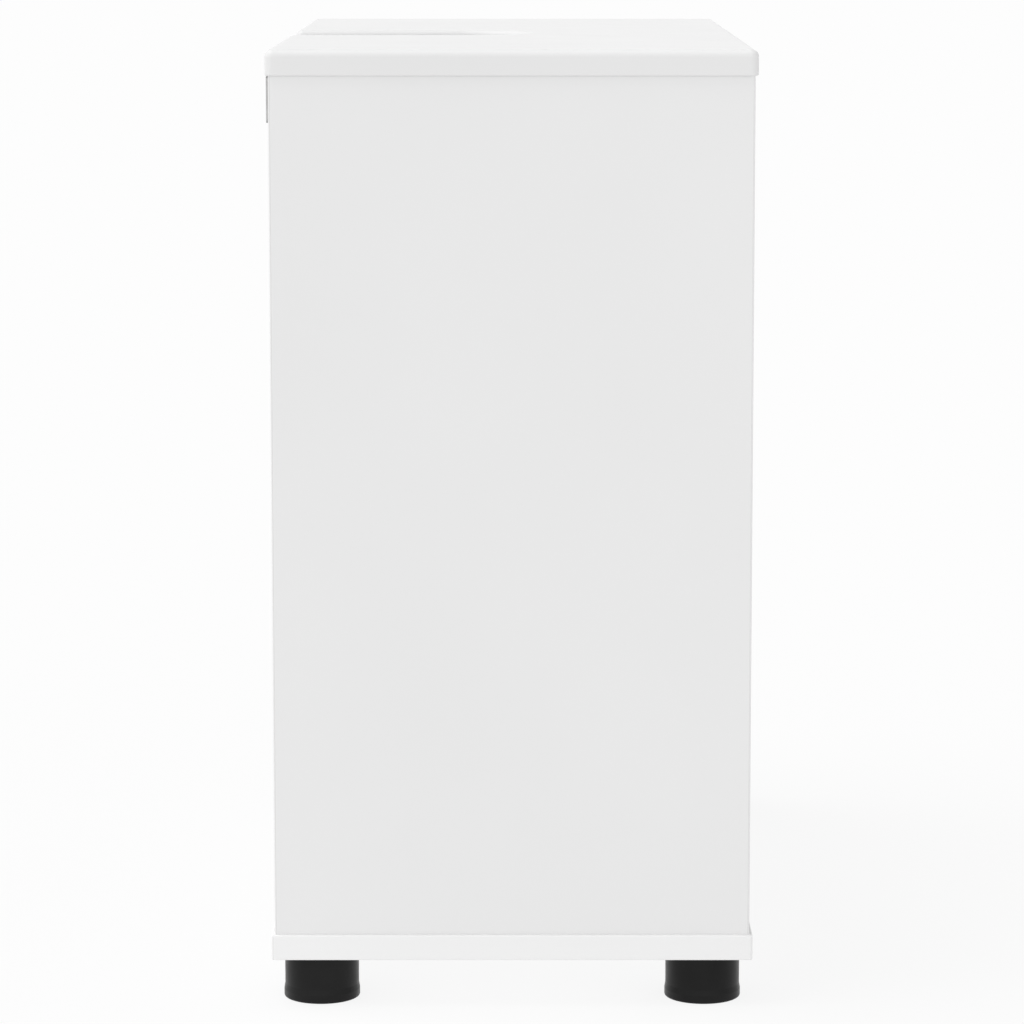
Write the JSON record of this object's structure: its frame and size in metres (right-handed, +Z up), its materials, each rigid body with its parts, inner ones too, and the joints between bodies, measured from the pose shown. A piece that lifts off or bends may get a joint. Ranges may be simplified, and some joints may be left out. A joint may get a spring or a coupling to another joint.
{
  "type": "bathroom vanity cabinet",
  "caption": "White floor-standing vanity cabinet with inset hinged doors on pivot pins, a shelf, an open back, round black feet and a top with a pipe cut-out open to the rear.",
  "frame": {"origin": "on the floor, under the middle of the overall box, knobs included", "axes": "+Z up, -Y towards the front (the doors), +X to the right of somebody who faces the doors"},
  "size_m": [0.6, 0.312, 0.596],
  "materials": {
    "white_laminate": "matt white laminate on wood board",
    "black_plastic": "moulded, satin black",
    "white_nylon": "moulded, natural white",
    "zinc_steel": "zinc plated, dull",
    "wall_plate_steel": "zinc plated, dull",
    "satin_knob": "satin nickel plated",
    "cam_zinc": "as-cast zinc alloy",
    "ferrite": "sintered, dark grey",
    "dowel_beech": "plain beech"
  },
  "bodies": {
    "carcass": {"bottom_panel": "white_laminate", "cam_bolts": "zinc_steel", "cam_locks": "cam_zinc", "catch_housing_left": "white_nylon", "catch_housing_right": "white_nylon", "catch_magnets": "ferrite", "catch_pole_plates": "zinc_steel", "catch_screws": "zinc_steel", "dowels": "dowel_beech", "foot_front_left": "black_plastic", "foot_front_right": "black_plastic", "foot_rear_left": "black_plastic", "foot_rear_right": "black_plastic", "foot_screws": "zinc_steel", "left_side_panel": "white_laminate", "pivot_bushes": "white_nylon", "rear_rail_lower": "white_laminate", "rear_rail_upper_left": "white_laminate", "rear_rail_upper_right": "white_laminate", "right_side_panel": "white_laminate", "shelf": "white_laminate", "shelf_pins": "zinc_steel", "top_panel": "white_laminate", "wall_plate_left": "wall_plate_steel", "wall_plate_right": "wall_plate_steel", "wall_plate_screws": "zinc_steel"},
    "left_door": {"door_left": "white_laminate", "knob_left": "satin_knob", "knob_screw_left": "zinc_steel", "pivot_pins_left": "zinc_steel", "strike_plate_left": "zinc_steel", "strike_screws_left": "zinc_steel"},
    "right_door": {"door_right": "white_laminate", "knob_right": "satin_knob", "knob_screw_right": "zinc_steel", "pivot_pins_right": "zinc_steel", "strike_plate_right": "zinc_steel", "strike_screws_right": "zinc_steel"}
  },
  "joints": [
    {"name": "left_door_swing", "type": "hinge", "parent": "carcass", "child": "left_door", "pos_m": [-0.262, -0.133, 0.048], "axis": [0, 0, -1], "range_deg": [0, 130]},
    {"name": "right_door_swing", "type": "hinge", "parent": "carcass", "child": "right_door", "pos_m": [0.262, -0.133, 0.048], "axis": [0, 0, 1], "range_deg": [0, 130]}
  ]
}
